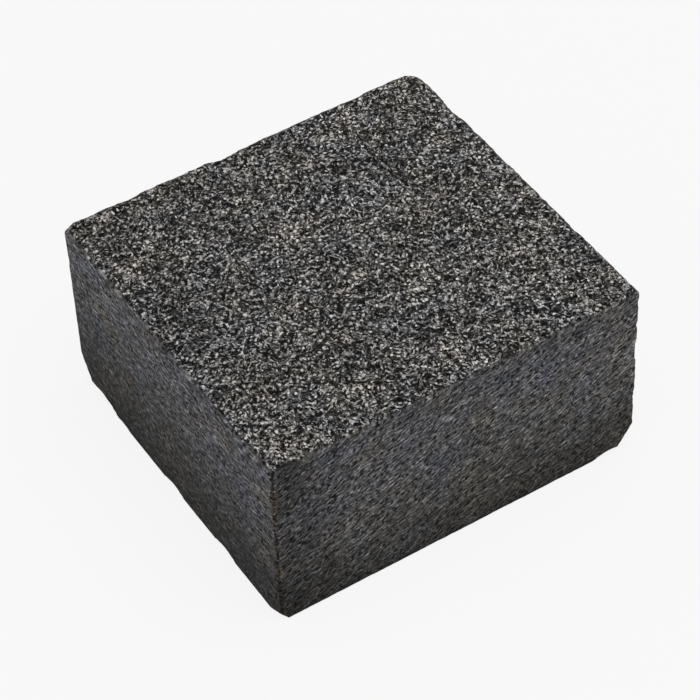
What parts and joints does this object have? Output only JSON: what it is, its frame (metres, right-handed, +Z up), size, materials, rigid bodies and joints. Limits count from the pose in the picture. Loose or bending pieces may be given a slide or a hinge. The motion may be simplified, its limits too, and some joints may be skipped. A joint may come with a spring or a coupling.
{
  "type": "granite sett",
  "caption": "Small square paving sett sawn from dark grey granite, with a flat flamed top, smooth sawn sides, worn corners and lightly spalled edges.",
  "frame": {"origin": "middle of the bed face, on the surface that the sett stands on", "axes": "+Z up through the flamed top; +X along the longer side of the plan, +Y along the shorter side; the picture sees the top, the -Y side and the -X side"},
  "size_m": [0.103, 0.098, 0.053],
  "materials": {
    "granite": "flamed top, sawn sides"
  },
  "bodies": {
    "root": {"granite_sett": "granite"}
  },
  "joints": []
}
